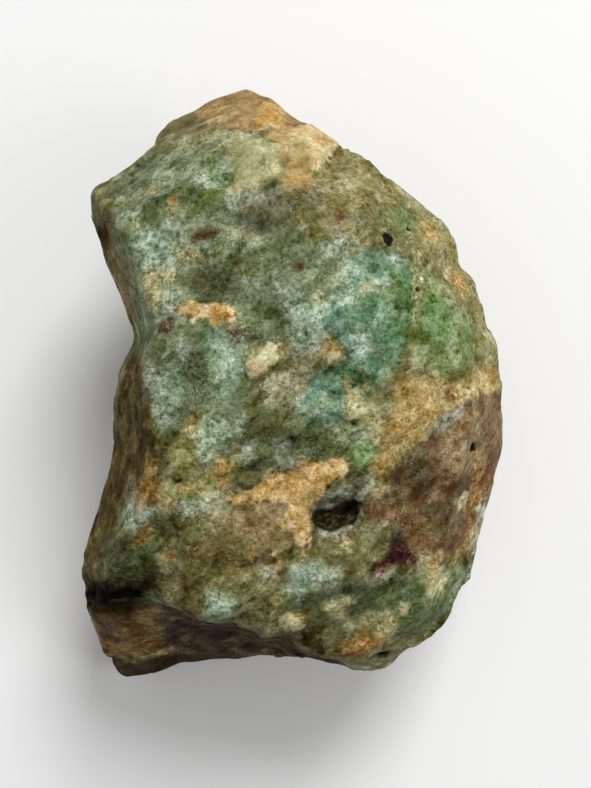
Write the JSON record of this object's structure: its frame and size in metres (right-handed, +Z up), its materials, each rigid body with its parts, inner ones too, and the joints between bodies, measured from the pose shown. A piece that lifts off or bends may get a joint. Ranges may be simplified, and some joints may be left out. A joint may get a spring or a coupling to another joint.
{
  "type": "rough amazonite specimen",
  "caption": "Hand-sized rough lump of green feldspar with a domed crown, worn cleavage faces, a weathered cap, an undercut foot and a flat back to lie on.",
  "frame": {"origin": "on the flat resting face, below the middle of the lump's outline", "axes": "+Z up out of the resting face to the domed crown, +Y along the lump to its weathered cap, +X to its long convex side"},
  "size_m": [0.068, 0.099, 0.0508],
  "materials": {
    "stone": "rough broken feldspar, mottled blue-green, olive, cream, ochre and smoky brown, with a slight waxy gloss on worn faces"
  },
  "bodies": {
    "root": {"amazonite": "stone"}
  },
  "joints": []
}
